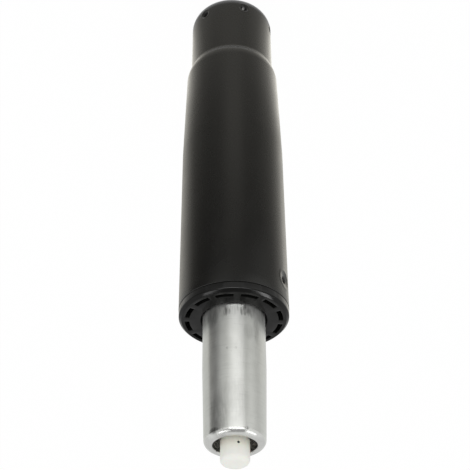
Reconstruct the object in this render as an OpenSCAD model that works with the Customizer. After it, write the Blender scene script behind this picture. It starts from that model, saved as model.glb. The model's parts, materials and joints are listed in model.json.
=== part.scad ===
// Gas lift column of an office chair, standing on its rim with the lift fully lowered.
// The origin is the centre of the bottom rim and +Z runs up to the release button.

/* [Column] */
// Outside diameter of the column
column_od = 50; // [48:0.5:54]
// Wall of the column
column_wall = 2; // [1.5:0.1:2.5]
// Step in from the column's radius to the neck's
neck_step = 3.5; // [2.5:0.1:5]
// Height of the base taper's small end
shoulder_z = 48; // [46:0.5:56]
// Length of the taper that seats in the chair base
base_taper_len = 50.7; // [40:0.1:55]
// Half angle of both seating tapers, in degrees
taper_angle = 1.4378; // [1:0.0001:2]
// Radius of the rounded shoulder
shoulder_r = 15; // [8:0.5:20]
// Radius of the hollow between neck and shoulder
neck_fillet_r = 5; // [2:0.5:8]
// Outside radius of the rolled bottom end
roll_r = 8; // [7:0.5:10]
// Width of the flat rim that the column stands on
rim_w = 1; // [0.5:0.1:3]
// Rounding of the column's top edge
column_edge_r = 0.5; // [0.2:0.1:0.8]

/* [Bottom plate] */
// How far the plate sinks into the rolled end
plate_sink = 3; // [2:0.1:3.5]
// Thickness of the plate
plate_t = 9; // [8:0.1:12]
// Depth of the staking dents below the plate's top
stake_drop = 3.7; // [3:0.1:4.2]
// Number of staking dents round the neck
stake_count = 6; // [3:1:8]
// Direction of the first staking dent, in degrees
stake_turn = 11.5; // [0:0.5:60]
// Diameter of a staking dent at the surface
stake_d = 3.6; // [3:0.1:4.2]
// Diameter of a staking dent's floor
stake_floor_d = 1.4; // [1:0.1:2]
// Depth of a staking dent
stake_depth = 0.9; // [0.6:0.1:1.2]

/* [Thrust bearing] */
// Diameter of a ball
ball_d = 4; // [3.2:0.1:4.8]
// Number of balls
ball_count = 9; // [6:1:10]
// Diameter of the circle of ball centres
ball_circle_d = 18.4; // [17.4:0.1:20]
// Outside diameter of both races
race_od = 26; // [24:0.5:30]
// Thickness of a race
race_t = 2; // [1.5:0.1:3]
// Depth of the ball track in a race
track_depth = 0.6; // [0.4:0.1:0.9]
// Thickness of the cage
cage_t = 1.6; // [1:0.1:2]
// Web of the cage inside and outside the balls
cage_web = 1.2; // [0.8:0.1:1.4]

/* [Bump stop] */
// Thickness of the washer under the rubber
buffer_washer_t = 1.5; // [1:0.1:2.5]
// Diameter of the washer under the rubber
buffer_washer_od = 24; // [20:0.5:30]
// Diameter of the rubber
bump_od = 22; // [18:0.5:26]
// Length of the rubber
bump_len = 23.6; // [18:0.1:30]
// Number of hollows round the rubber
bump_hollows = 3; // [2:1:4]
// Depth of a hollow round the rubber
bump_hollow_depth = 1.6; // [1:0.1:2]
// Gap between the rubber and the lowered tube
bump_gap = 0.3; // [0.1:0.1:0.6]

/* [Rod] */
// Diameter of the rod
rod_d = 10; // [9.5:0.5:11]
// Diameter of the rod's lower end, through the bearing
rod_end_d = 8; // [7:0.1:8.6]
// Diameter of the rod's upper end, through the piston
rod_top_d = 7; // [6:0.1:8]
// Length of the rod below the clip
rod_tail = 1.2; // [0.8:0.1:1.4]
// Thickness of the washer under the plate
rod_washer_t = 1; // [0.6:0.1:1.2]
// Diameter of the washer under the plate
rod_washer_od = 17; // [14:0.5:20]
// Thickness of the clip
clip_t = 0.9; // [0.6:0.1:1]
// Outside diameter of the clip
clip_od = 14; // [12:0.5:16]
// Depth of the clip's groove in the rod
clip_groove_depth = 0.8; // [0.5:0.1:1.2]
// Width of the clip's mouth
clip_mouth_w = 5; // [4:0.1:6]
// End play of the rod in the plate
end_play = 0.15; // [0.1:0.05:0.3]

/* [Piston] */
// Length of the piston
piston_len = 15; // [12:0.5:20]
// Clearance of the piston in its cylinder
piston_gap = 0.1; // [0.06:0.01:0.2]
// Width of the piston seal
piston_seal_w = 3; // [2:0.1:4]
// Depth of the piston seal
piston_seal_depth = 2.2; // [1.6:0.1:3]
// Thickness of the washers at the piston's ends
piston_washer_t = 1.5; // [1:0.1:2.5]
// Step in from the piston's radius to its washers'
piston_washer_step = 0.9; // [0.5:0.1:2]
// Diameter of the rod's riveted head
rivet_d = 10; // [9:0.5:13]
// Thickness of the rod's riveted head
rivet_t = 2; // [1.5:0.1:3]

/* [Gas spring tube] */
// Travel of the lift
stroke = 100; // [80:5:140]
// Outside diameter of the tube
tube_od = 28; // [27:0.5:29]
// Wall of the tube
tube_wall = 2.5; // [2:0.1:2.9]
// Thickness of the tube's rolled ends
tube_roll_t = 2; // [1.5:0.1:2.5]
// Length of tube above the bush when lowered
exposed_len = 61.3; // [50:0.1:80]
// Length of the taper that seats in the chair mechanism
seat_taper_len = 36; // [30:0.5:45]
// Rounding of the tube's rolled ends
tube_edge_r = 2.7; // [1.5:0.1:3]
// Rounding of the upper mouth
mouth_lip_r = 0.8; // [0.3:0.1:1]
// Flat between the tube's rounded end and its mouth
mouth_flat = 0.36; // [0.1:0.01:1]
// Diameter of the tube's lower mouth
tail_mouth_d = 16; // [14:0.5:18]
// Width of the gas passage round the inner cylinder
gas_gap = 1; // [0.5:0.1:1.5]
// Wall of the inner cylinder
inner_wall = 1; // [0.7:0.1:1.3]

/* [Rod guide and seal] */
// Length of the rod guide
rod_guide_len = 16; // [10:0.5:20]
// Length of the rod seal
rod_seal_len = 9; // [7:0.5:12]
// Thickness of the rod seal's lips
rod_seal_lip = 2; // [1.4:0.1:2.4]
// Depth of the hollow between the rod seal's lips
rod_seal_hollow = 5; // [3:0.5:6]
// Thickness of the washer over the seal
seal_washer_t = 2; // [1:0.1:3]
// Thickness of the centring ring's flange
ring_flange_t = 4; // [3:0.1:6]
// Length of the centring ring's spigot
ring_spigot_len = 4; // [3:0.1:6]
// Width of the gas notches in the centring ring
ring_notch_w = 2; // [1:0.1:3]
// Depth of the gas notches in the centring ring
ring_notch_depth = 1.5; // [1:0.1:2]
// Number of gas notches in the centring ring
ring_notches = 4; // [2:1:6]

/* [Valve] */
// Room between the rod's head and the lowered valve
head_gap = 8.3; // [6:0.1:15]
// Length of the valve body's spigot in the inner cylinder
valve_spigot_len = 8; // [7.4:0.1:10]
// Length of the valve body's relieved stretch
valve_relief_len = 10; // [8:0.1:14]
// Length of the valve body's full diameter
valve_head_len = 14; // [12:0.1:18]
// Thickness of the valve body's floor
valve_floor_t = 4; // [3:0.1:5]
// Diameter of the chamber round the pin
chamber_d = 12; // [11.6:0.1:13]
// Diameter of the valve's gas ports
port_d = 2; // [1.2:0.1:2.6]
// Length of the spacer between the pin seals
spacer_len = 10; // [8:0.1:12]
// Cord thickness of the ring that seals the valve to the tube
tube_ring_d = 2; // [1.6:0.1:2.4]
// Cord thickness of the ring that seals the spigot
spigot_ring_d = 1.5; // [1.2:0.1:1.8]
// Length of the cap
cap_len = 11; // [9:0.1:14]
// Thickness of the cap's floor
cap_floor_t = 5; // [3:0.1:6]

/* [Release] */
// Diameter of the pin
pin_d = 8; // [7.4:0.1:8.2]
// Diameter of the pin's waist
waist_d = 6.8; // [6:0.1:7.2]
// Lead of the pin above the lower seal before the waist begins
waist_lead = 0.6; // [0.4:0.1:1]
// Diameter of the pin's head
pin_head_d = 11; // [10:0.1:12]
// Thickness of the pin's head
pin_head_t = 1.5; // [1:0.1:2]
// Travel of the button
press_travel = 3; // [2:0.1:4]
// Diameter of the button
button_d = 12.5; // [11:0.1:14]
// Height of the button above the tube
button_rise = 8; // [6:0.1:10]
// Rounding of the button's top edge
button_edge_r = 2.2; // [0.5:0.1:3]
// Depth of the pin in the button
pin_in_button = 6.8; // [4:0.1:8]

/* [Guide bush] */
// Step in from the column's radius to the flange's
flange_step = 0.1; // [0:0.05:1]
// Thickness of the flange
flange_t = 4.8; // [3:0.1:6]
// Chamfer of the flange's front edge
flange_chamfer = 1.3; // [0.5:0.1:2]
// Length of the bush inside the column
bush_len = 70; // [55:1:75]
// Length of the bush's lower land
bush_land_len = 12; // [8:0.5:16]
// Length of the bush's upper land
bush_head_len = 22; // [20:0.5:28]
// Wall of the bush between its lands
bush_waist_wall = 3; // [2:0.1:5]
// Clearance of the bush's mouth round the tube
bush_mouth_gap = 0.8; // [0.3:0.1:1.2]
// Depth of the bush's mouth
bush_mouth_depth = 4; // [2:0.1:6]
// Rounding of the bush's mouth
bush_lip_r = 0.8; // [0.4:0.1:1.2]
// Number of slots in the flange
slot_count = 12; // [6:1:12]
// Direction of the first slot, in degrees
slot_turn = 10.9; // [0:0.1:30]
// Angle that a slot spans, in degrees
slot_span = 21.5; // [12:0.5:24]
// Radial width of a slot
slot_w = 2.1; // [1.5:0.1:2.4]
// Distance of the slots' middle from the flange's edge
slot_inset = 3.8; // [3.6:0.1:5]
// Depth of a slot
slot_depth = 7; // [3:0.5:8]
// Drop of the crimps below the column's top
crimp_drop = 10.6; // [9:0.1:12]
// Direction of the first crimp, in degrees
crimp_turn = 23; // [0:1:90]
// Number of crimps
crimp_count = 2; // [2:1:4]
// Diameter of a crimp at the surface
crimp_d = 4.4; // [3:0.1:5]
// Diameter of a crimp's floor
crimp_floor_d = 1.8; // [1:0.1:2.4]
// Depth of a crimp
crimp_depth = 1.2; // [0.8:0.1:1.5]

/* [Clearances] */
// Gap between pieces that seat in each other
fit_gap = 0.05; // [0.02:0.01:0.1]
// Gap between pieces that slide or turn on each other
run_gap = 0.05; // [0.03:0.01:0.1]
// Gap between a seal and what slides past it
seal_gap = 0.03; // [0.01:0.01:0.05]
// Gap between a ball and its tracks
ball_gap = 0.03; // [0.02:0.01:0.05]
// Wide gap where a piece passes through another without touching
pass_gap = 0.5; // [0.3:0.1:0.8]
// Small chamfer on turned edges
chamfer = 0.5; // [0.3:0.1:0.7]

/* [Hidden] */
$fn = 96;
arc_steps = 8;
overcut = 1;

// Radii
column_r = column_od / 2;
column_ir = column_r - column_wall;
neck_r = column_r - neck_step;
neck_ir = neck_r - column_wall;
rod_r = rod_d / 2;
rod_end_r = rod_end_d / 2;
rod_top_r = rod_top_d / 2;
clip_groove_r = rod_end_r - clip_groove_depth;
tube_r = tube_od / 2;
tube_ir = tube_r - tube_wall;
tube_fill_r = tube_ir - fit_gap;
tube_end_r = tube_r - (seat_taper_len - tube_edge_r) * tan(taper_angle);
mouth_r = tube_end_r - tube_edge_r - mouth_flat - mouth_lip_r;
tail_mouth_r = tail_mouth_d / 2;
inner_r = tube_ir - gas_gap;
inner_ir = inner_r - inner_wall;
inner_fill_r = inner_ir - fit_gap;
piston_r = inner_ir - piston_gap;
pin_r = pin_d / 2;
chamber_r = chamber_d / 2;
flange_r = column_r - flange_step;
slot_r = flange_r - slot_inset - slot_w / 2;
bush_r = column_ir - fit_gap;
bush_bore_r = tube_r + run_gap;
bush_mouth_r = tube_r + bush_mouth_gap;
ball_circle_r = ball_circle_d / 2;
ball_r = ball_d / 2;
track_r = ball_r + ball_gap;
cage_pocket_r = ball_r + run_gap;

// Heights of the column's foot and its bearing
plate_z = roll_r - plate_sink;
plate_top = plate_z + plate_t;
stake_z = plate_top - stake_drop;
lower_race_top = plate_top + race_t;
ball_z = lower_race_top - track_depth + track_r;
upper_race_z = ball_z + track_r - track_depth;
upper_race_top = upper_race_z + race_t;
bump_z = upper_race_top + buffer_washer_t;
bump_top = bump_z + bump_len;
rod_washer_z = plate_z - end_play - rod_washer_t;
clip_z = rod_washer_z - fit_gap - clip_t;
rod_z = clip_z - fit_gap - rod_tail;

// Heights of the gas spring, lowered onto the bump stop
tube_z = bump_top + bump_gap;
guide_z = tube_z + tube_roll_t;
seal_z = guide_z + rod_guide_len;
seal_washer_z = seal_z + rod_seal_len;
ring_z = seal_washer_z + seal_washer_t;
inner_z = ring_z + ring_flange_t;
ring_top = inner_z + ring_spigot_len;
piston_seat_z = ring_top + stroke + pass_gap;
piston_z = piston_seat_z + piston_washer_t;
piston_top = piston_z + piston_len;
piston_seal_z = piston_z + (piston_len - piston_seal_w) / 2;
rivet_z = piston_top + piston_washer_t;
rivet_top = rivet_z + rivet_t;
valve_z = rivet_top + head_gap;
inner_top = valve_z + valve_spigot_len;
valve_head_z = inner_top + valve_relief_len;
valve_top = valve_head_z + valve_head_len;
cap_floor_z = valve_top + cap_floor_t;
cap_top = valve_top + cap_len;
tube_top = cap_top + tube_roll_t;
seat_taper_z = tube_top - seat_taper_len;

// Heights of the bush and the column's upper end
flange_top = tube_top - exposed_len;
column_top = flange_top - flange_t;
taper_top = shoulder_z + base_taper_len;
bush_z = column_top - bush_len;
crimp_z = column_top - crimp_drop;

// Heights inside the valve
pin_ring_d = chamber_r - pin_r - 2 * seal_gap;
chamber_z = valve_z + valve_floor_t;
lower_seal_z = chamber_z + seal_gap + pin_ring_d / 2;
spacer_z = chamber_z + pin_ring_d + 2 * seal_gap;
upper_seal_z = spacer_z + spacer_len + seal_gap + pin_ring_d / 2;
boss_z = spacer_z + spacer_len + pin_ring_d + 2 * seal_gap;
port_z = spacer_z + spacer_len / 2;
spigot_ring_z = valve_z + valve_floor_t / 2;
tube_ring_z = valve_head_z + valve_head_len / 2;
pin_head_z = valve_z - run_gap - pin_head_t;
waist_z = spacer_z + waist_lead;
waist_top = spacer_z + spacer_len - waist_lead;
button_z = cap_floor_z + press_travel + run_gap;
button_top = tube_top + button_rise;
pin_top = button_z + pin_in_button;

// Places that shape the shoulder between neck and base taper
small_end_r = column_r - base_taper_len * tan(taper_angle);
shoulder_c = [small_end_r - shoulder_r * cos(taper_angle), shoulder_z + shoulder_r * sin(taper_angle)];
fillet_x = neck_r + neck_fillet_r;
fillet_reach = shoulder_r + neck_fillet_r;
fillet_c = [fillet_x, shoulder_c.y - sqrt(fillet_reach ^ 2 - (fillet_x - shoulder_c.x) ^ 2)];
shoulder_turn = atan2(fillet_c.y - shoulder_c.y, fillet_c.x - shoulder_c.x);
roll_c = [neck_r - roll_r, roll_r];

// Colours
paint_black = [0.09, 0.09, 0.085];
plastic_black = [0.12, 0.12, 0.12];
steel_bright = [0.78, 0.78, 0.76];
steel_dark = [0.45, 0.45, 0.46];
rubber_black = [0.06, 0.06, 0.06];
brass = [0.78, 0.62, 0.32];
alloy = [0.7, 0.71, 0.73];
nylon_white = [0.92, 0.92, 0.89];
polymer_cream = [0.86, 0.84, 0.76];

// Points of an arc about centre c, from angle a0 to angle a1
function arc(c, r, a0, a1) =
    [for (i = [0:arc_steps]) let (a = a0 + (a1 - a0) * i / arc_steps) c + r * [cos(a), sin(a)]];

module turned(points) {
    rotate_extrude() polygon(points);
}

module ring(r_in, r_out, z, t) {
    translate([0, 0, z]) difference() {
        cylinder(r = r_out, h = t);
        translate([0, 0, -overcut]) cylinder(r = r_in, h = t + 2 * overcut);
    }
}

module ring_seal(circle_r, cord_d, z) {
    translate([0, 0, z]) rotate_extrude() translate([circle_r, 0]) circle(d = cord_d);
}

module around(count, turn) {
    for (i = [0:count - 1]) rotate(turn + i * 360 / count) children();
}

// Cone pressed inwards at height z, reaching from radius r + lead to radius r - depth
module dent(r, z, d, floor_d, depth, lead) {
    slope = (d - floor_d) / depth;
    translate([r - depth, 0, z]) rotate([0, 90, 0])
        cylinder(d1 = floor_d, d2 = floor_d + slope * (depth + lead), h = depth + lead);
}

// Race with its ball track, lying between z and z + race_t
module race(bore_r, z) {
    difference() {
        ring(bore_r, race_od / 2, z, race_t);
        ring_seal(ball_circle_r, 2 * track_r, ball_z);
    }
}

module column_tube() {
    outside = concat(
        [[roll_c.x - rim_w, 0]],
        arc(roll_c, roll_r, -90, 0),
        arc(fillet_c, neck_fillet_r, 180, shoulder_turn + 180),
        arc(shoulder_c, shoulder_r, shoulder_turn, -taper_angle),
        [[column_r, taper_top]],
        arc([column_r - column_edge_r, column_top - column_edge_r], column_edge_r, 0, 90)
    );
    inside = concat(
        [[column_ir, column_top], [column_ir, taper_top]],
        arc(shoulder_c, shoulder_r - column_wall, -taper_angle, shoulder_turn),
        arc(fillet_c, neck_fillet_r + column_wall, shoulder_turn + 180, 180),
        arc(roll_c, roll_r - column_wall, 0, -90),
        [[roll_c.x - rim_w, column_wall]]
    );
    color(paint_black) difference() {
        union() {
            turned(concat(outside, inside));
            around(stake_count, stake_turn)
                dent(neck_ir, stake_z, stake_d, stake_floor_d, stake_depth, column_wall / 2);
            around(crimp_count, crimp_turn)
                dent(column_ir, crimp_z, crimp_d, crimp_floor_d, crimp_depth, column_wall / 2);
        }
        around(stake_count, stake_turn)
            dent(neck_r, stake_z, stake_d, stake_floor_d, stake_depth, overcut);
        around(crimp_count, crimp_turn)
            dent(column_r, crimp_z, crimp_d, crimp_floor_d, crimp_depth, overcut);
    }
}

// Slots in the flange's face, each a piece of a ring
module flange_slots() {
    translate([0, 0, flange_top - slot_depth])
        around(slot_count, slot_turn - slot_span / 2)
            rotate_extrude(angle = slot_span)
                translate([slot_r, 0]) square([slot_w, slot_depth + overcut]);
}

module guide_bush() {
    head_z = column_top - bush_head_len;
    land_top = bush_z + bush_land_len;
    waist_r = bush_mouth_r + bush_waist_wall;
    groove_h = crimp_d / 2 + pass_gap;
    groove_r = column_ir - crimp_depth - pass_gap;
    outside = concat(
        [[bush_bore_r, bush_z], [bush_r - chamfer, bush_z], [bush_r, bush_z + chamfer]],
        [[bush_r, land_top], [waist_r, land_top], [waist_r, head_z], [bush_r, head_z]],
        [[bush_r, crimp_z - groove_h], [groove_r, crimp_z - groove_h]],
        [[groove_r, crimp_z + groove_h], [bush_r, crimp_z + groove_h]],
        [[bush_r, column_top], [flange_r, column_top]],
        [[flange_r, flange_top - flange_chamfer], [flange_r - flange_chamfer, flange_top]]
    );
    inside = concat(
        arc([bush_mouth_r + bush_lip_r, flange_top - bush_lip_r], bush_lip_r, 90, 180),
        [[bush_mouth_r, flange_top - bush_mouth_depth], [bush_bore_r, flange_top - bush_mouth_depth]],
        [[bush_bore_r, head_z], [bush_mouth_r, head_z], [bush_mouth_r, land_top], [bush_bore_r, land_top]]
    );
    color(plastic_black) difference() {
        turned(concat(outside, inside));
        flange_slots();
    }
}

module bottom_plate() {
    seat_r = roll_r - column_wall - fit_gap;
    edge_r = neck_ir - fit_gap;
    bore_r = rod_end_r + 2 * run_gap;
    groove_h = stake_d / 2 + pass_gap;
    groove_r = neck_ir - stake_depth - pass_gap;
    color(steel_dark) difference() {
        turned(concat(
            [[bore_r, plate_z]],
            arc(roll_c, seat_r, -asin(plate_sink / seat_r), 0),
            [[edge_r, plate_top], [bore_r, plate_top]]
        ));
        ring(groove_r, neck_r, stake_z - groove_h, 2 * groove_h);
    }
}

module lower_race() {
    color(steel_bright) race(rod_end_r + pass_gap, plate_top);
}

module upper_race() {
    color(steel_bright) race(rod_end_r + fit_gap, upper_race_z);
}

module ball_cage() {
    color(brass) difference() {
        ring(
            ball_circle_r - cage_pocket_r - cage_web, ball_circle_r + cage_pocket_r + cage_web,
            ball_z - cage_t / 2, cage_t
        );
        around(ball_count, 0)
            translate([ball_circle_r, 0, ball_z - cage_t]) cylinder(r = cage_pocket_r, h = 2 * cage_t);
    }
}

module bearing_balls() {
    color(steel_bright) around(ball_count, 0) translate([ball_circle_r, 0, ball_z]) sphere(r = ball_r);
}

module piston_rod() {
    color(steel_bright) turned([
        [0, rod_z], [rod_end_r - chamfer, rod_z], [rod_end_r, rod_z + chamfer],
        [rod_end_r, clip_z - fit_gap], [clip_groove_r, clip_z - fit_gap],
        [clip_groove_r, clip_z + clip_t + fit_gap], [rod_end_r, clip_z + clip_t + fit_gap],
        [rod_end_r, upper_race_top], [rod_r, upper_race_top],
        [rod_r, piston_seat_z], [rod_top_r, piston_seat_z],
        [rod_top_r, rivet_z], [rivet_d / 2, rivet_z],
        [rivet_d / 2, rivet_top - chamfer], [rivet_d / 2 - chamfer, rivet_top], [0, rivet_top]
    ]);
}

module buffer_washer() {
    color(steel_dark) ring(rod_r + fit_gap, buffer_washer_od / 2, upper_race_top, buffer_washer_t);
}

module bump_rubber() {
    pitch = bump_len / bump_hollows;
    hollow_r = pitch / 4 + bump_hollow_depth / 2;
    color(rubber_black) rotate_extrude() difference() {
        translate([rod_r + fit_gap, bump_z]) square([bump_od / 2 - rod_r - fit_gap, bump_len]);
        for (i = [0:bump_hollows - 1])
            translate([bump_od / 2 + hollow_r - bump_hollow_depth, bump_z + (i + 0.5) * pitch])
                circle(r = hollow_r);
    }
}

module rod_washer() {
    color(steel_bright) ring(rod_end_r + fit_gap, rod_washer_od / 2, rod_washer_z, rod_washer_t);
}

module rod_clip() {
    mouth_len = clip_od / 2 + overcut;
    color(steel_dark) difference() {
        ring(clip_groove_r + fit_gap, clip_od / 2, clip_z, clip_t);
        translate([0, -clip_mouth_w / 2, clip_z - overcut])
            cube([mouth_len, clip_mouth_w, clip_t + 2 * overcut]);
    }
}

module piston() {
    bore_r = rod_top_r + fit_gap;
    groove_r = piston_r - piston_seal_depth;
    groove_z = piston_seal_z - fit_gap;
    groove_top = piston_seal_z + piston_seal_w + fit_gap;
    color(alloy) turned([
        [bore_r, piston_z], [piston_r - chamfer, piston_z], [piston_r, piston_z + chamfer],
        [piston_r, groove_z], [groove_r, groove_z], [groove_r, groove_top], [piston_r, groove_top],
        [piston_r, piston_top - chamfer], [piston_r - chamfer, piston_top], [bore_r, piston_top]
    ]);
}

module piston_seal() {
    color(rubber_black)
        ring(piston_r - piston_seal_depth + fit_gap, inner_ir - seal_gap, piston_seal_z, piston_seal_w);
}

module piston_washers() {
    color(steel_dark) for (z = [piston_seat_z, piston_top])
        ring(rod_top_r + fit_gap, piston_r - piston_washer_step, z, piston_washer_t);
}

module pressure_tube() {
    outside = concat(
        [[tail_mouth_r, tube_z]],
        arc([tube_r - tube_edge_r, tube_z + tube_edge_r], tube_edge_r, -90, 0),
        [[tube_r, seat_taper_z]],
        arc([tube_end_r - tube_edge_r, tube_top - tube_edge_r], tube_edge_r, taper_angle, 90)
    );
    inside = concat(
        arc([mouth_r + mouth_lip_r, tube_top - mouth_lip_r], mouth_lip_r, 90, 180),
        [[mouth_r, cap_top], [tube_ir, cap_top], [tube_ir, guide_z], [tail_mouth_r, guide_z]]
    );
    color(steel_bright) turned(concat(outside, inside));
}

module inner_cylinder() {
    color(steel_bright) ring(inner_ir, inner_r, inner_z, inner_top - inner_z);
}

module rod_guide() {
    bore_r = rod_r + run_gap;
    color(polymer_cream) turned([
        [bore_r + chamfer, guide_z], [tube_fill_r, guide_z], [tube_fill_r, seal_z],
        [bore_r + chamfer, seal_z], [bore_r, seal_z - chamfer], [bore_r, guide_z + chamfer]
    ]);
}

module rod_seal() {
    bore_r = rod_r + seal_gap;
    top = seal_z + rod_seal_len;
    color(rubber_black) turned([
        [bore_r, seal_z], [tube_fill_r, seal_z], [tube_fill_r, top],
        [tube_fill_r - rod_seal_lip, top], [tube_fill_r - rod_seal_lip, top - rod_seal_hollow],
        [bore_r + rod_seal_lip, top - rod_seal_hollow], [bore_r + rod_seal_lip, top], [bore_r, top]
    ]);
}

module seal_washer() {
    color(steel_dark) ring(rod_r + pass_gap, tube_fill_r, seal_washer_z, seal_washer_t);
}

module centring_ring() {
    bore_r = rod_r + pass_gap;
    color(alloy) difference() {
        turned([
            [bore_r, ring_z], [tube_fill_r, ring_z], [tube_fill_r, inner_z],
            [inner_fill_r, inner_z], [inner_fill_r, ring_top], [bore_r, ring_top]
        ]);
        around(ring_notches, 0) translate([0, -ring_notch_w / 2, inner_z - ring_notch_depth])
            cube([tube_ir, ring_notch_w, ring_notch_depth + ring_spigot_len + overcut]);
    }
}

module valve_body() {
    bore_r = pin_r + pass_gap;
    color(brass) difference() {
        turned([
            [bore_r, valve_z], [inner_fill_r, valve_z], [inner_fill_r, inner_top],
            [inner_r, inner_top], [inner_r, valve_head_z], [tube_fill_r, valve_head_z],
            [tube_fill_r, valve_top], [chamber_r, valve_top], [chamber_r, chamber_z], [bore_r, chamber_z]
        ]);
        ring_groove(inner_ir, spigot_ring_d, spigot_ring_z);
        ring_groove(tube_ir, tube_ring_d, tube_ring_z);
        translate([0, 0, port_z]) rotate([0, 90, 0]) cylinder(d = port_d, h = tube_r);
    }
}

// Space of a square groove that holds a sealing ring against a bore of radius bore_r
module ring_groove(bore_r, cord_d, z) {
    ring(bore_r - cord_d - 2 * seal_gap, bore_r + overcut, z - cord_d / 2 - fit_gap, cord_d + 2 * fit_gap);
}

module valve_body_seals() {
    color(rubber_black) {
        ring_seal(inner_ir - seal_gap - spigot_ring_d / 2, spigot_ring_d, spigot_ring_z);
        ring_seal(tube_ir - seal_gap - tube_ring_d / 2, tube_ring_d, tube_ring_z);
    }
}

module valve_spacer() {
    color(polymer_cream) difference() {
        ring(pin_r + run_gap, chamber_r - fit_gap, spacer_z, spacer_len);
        translate([0, 0, port_z]) rotate([0, 90, 0]) cylinder(d = port_d, h = tube_r);
    }
}

module pin_seals() {
    color(rubber_black) for (z = [lower_seal_z, upper_seal_z])
        ring_seal((pin_r + chamber_r) / 2, pin_ring_d, z);
}

module valve_cap() {
    bore_r = pin_r + run_gap;
    boss_r = chamber_r - fit_gap;
    color(alloy) turned([
        [bore_r, boss_z], [boss_r, boss_z], [boss_r, valve_top], [tube_fill_r, valve_top],
        [tube_fill_r, cap_top], [mouth_r, cap_top], [mouth_r, cap_floor_z], [bore_r, cap_floor_z]
    ]);
}

module release_pin() {
    color(steel_bright) turned([
        [0, pin_head_z], [pin_head_d / 2, pin_head_z], [pin_head_d / 2, pin_head_z + pin_head_t],
        [pin_r, pin_head_z + pin_head_t], [pin_r, waist_z - chamfer], [waist_d / 2, waist_z],
        [waist_d / 2, waist_top], [pin_r, waist_top + chamfer],
        [pin_r, pin_top - chamfer], [pin_r - chamfer, pin_top], [0, pin_top]
    ]);
}

module release_button() {
    bore_r = pin_r + fit_gap;
    edge_c = [button_d / 2 - button_edge_r, button_top - button_edge_r];
    color(nylon_white) turned(concat(
        [[bore_r, button_z], [button_d / 2 - chamfer, button_z], [button_d / 2, button_z + chamfer]],
        arc(edge_c, button_edge_r, 0, 90),
        [[0, button_top], [0, pin_top + fit_gap], [bore_r, pin_top + fit_gap]]
    ));
}

column_tube();
guide_bush();
bottom_plate();
lower_race();
ball_cage();
bearing_balls();
piston_rod();
upper_race();
buffer_washer();
bump_rubber();
rod_washer();
rod_clip();
piston();
piston_seal();
piston_washers();
pressure_tube();
inner_cylinder();
rod_guide();
rod_seal();
seal_washer();
centring_ring();
valve_body();
valve_body_seals();
valve_spacer();
pin_seals();
valve_cap();
release_pin();
release_button();
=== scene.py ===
"""Looks of a gas lift column for an office chair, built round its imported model. Lengths are in metres."""

import json
import math

import bmesh
import bpy
from mathutils import Matrix, Vector


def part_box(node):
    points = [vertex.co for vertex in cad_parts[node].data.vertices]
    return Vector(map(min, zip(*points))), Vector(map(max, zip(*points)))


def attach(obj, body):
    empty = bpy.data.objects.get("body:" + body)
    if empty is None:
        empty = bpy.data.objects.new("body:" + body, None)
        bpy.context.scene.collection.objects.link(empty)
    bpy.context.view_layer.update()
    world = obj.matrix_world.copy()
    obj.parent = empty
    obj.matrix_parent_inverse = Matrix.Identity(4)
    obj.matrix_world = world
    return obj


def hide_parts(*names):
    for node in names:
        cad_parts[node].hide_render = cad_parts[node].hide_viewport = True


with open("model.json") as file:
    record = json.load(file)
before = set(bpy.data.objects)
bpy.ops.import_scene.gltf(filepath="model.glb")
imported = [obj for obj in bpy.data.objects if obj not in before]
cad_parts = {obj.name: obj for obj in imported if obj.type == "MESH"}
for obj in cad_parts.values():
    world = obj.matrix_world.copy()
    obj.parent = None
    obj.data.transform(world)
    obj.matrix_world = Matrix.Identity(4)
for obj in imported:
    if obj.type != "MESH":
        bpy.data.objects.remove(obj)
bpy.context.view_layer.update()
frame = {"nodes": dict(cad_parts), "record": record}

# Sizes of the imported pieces
COLUMN_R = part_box("column_tube")[1].x
COLUMN_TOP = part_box("column_tube")[1].z
BUSH_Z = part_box("guide_bush")[0].z
FLANGE_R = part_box("guide_bush")[1].x
FLANGE_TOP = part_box("guide_bush")[1].z
TUBE_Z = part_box("pressure_tube")[0].z
TUBE_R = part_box("pressure_tube")[1].x
TUBE_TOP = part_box("pressure_tube")[1].z
BUTTON_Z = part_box("release_button")[0].z
BUTTON_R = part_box("release_button")[1].x
BUTTON_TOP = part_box("release_button")[1].z
PIN_R = 0.004
PIN_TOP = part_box("release_pin")[1].z
CAP_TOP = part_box("valve_cap")[1].z
GUIDE_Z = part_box("rod_guide")[0].z
FIT_GAP = 0.00005

# Column
COLUMN_WALL = 0.002
COLUMN_IR = COLUMN_R - COLUMN_WALL
NECK_STEP = 0.0035
NECK_R = COLUMN_R - NECK_STEP
SHOULDER_Z = 0.048
BASE_TAPER_LEN = 0.0507
TAPER_TOP = SHOULDER_Z + BASE_TAPER_LEN
TAPER_ANGLE = math.radians(1.4378)
TAPER_END_R = COLUMN_R - BASE_TAPER_LEN * math.tan(TAPER_ANGLE)
SHOULDER_R = 0.015
NECK_FILLET_R = 0.005
ROLL_R = 0.008
RIM_W = 0.001
RIM_EDGE_R = 0.0004
COLUMN_EDGE_R = 0.0003
COLUMN_STEP = math.radians(1.2)

# Dents in the column: first direction in degrees, count, height and the wall's radius, then the sizes of the
# punched hole, of the soft dish round it and of the raised lip, and the spacing of the mesh there
STAKES = {
    "turn": 11.5, "count": 6, "z": 0.0103, "r": NECK_R,
    "mouth_r": 0.0021, "floor_r": 0.0009, "depth": 0.0013, "dish_r": 0.0036, "dish_depth": 0.0006,
    "lip_r": 0.0027, "lip_w": 0.0006, "lip_h": 0.00015, "row": 0.0002,
}
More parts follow.
